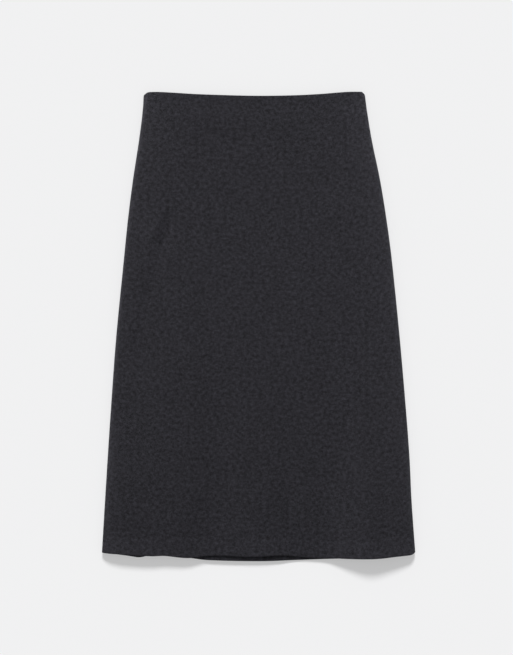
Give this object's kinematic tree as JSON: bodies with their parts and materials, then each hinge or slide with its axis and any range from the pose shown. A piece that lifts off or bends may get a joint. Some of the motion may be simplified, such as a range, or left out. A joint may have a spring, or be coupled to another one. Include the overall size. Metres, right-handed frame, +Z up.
{
  "type": "pencil skirt",
  "caption": "Plain dark pencil skirt in stretch cloth, laid flat with the front up, open at the waist and the hem.",
  "frame": {"origin": "on the surface the skirt lies on, under the middle of its outline", "axes": "+X across the skirt, to the right seen from above; +Y from the hem to the waist; +Z up, from the back panel to the front panel"},
  "size_m": [0.522, 0.7831, 0.0261],
  "materials": {
    "cloth": "matt stretch suiting in dark grey, with a fine fleck and a short soft nap",
    "cloth_inside": "the wrong side of the same cloth, matt and a little darker"
  },
  "bodies": {
    "root": {"back_panel": "cloth", "back_waist_turn_in": "cloth_inside", "back_hem_turn_up": "cloth_inside", "front_panel": "cloth", "front_waist_turn_in": "cloth_inside", "front_hem_turn_up": "cloth_inside"}
  },
  "joints": []
}
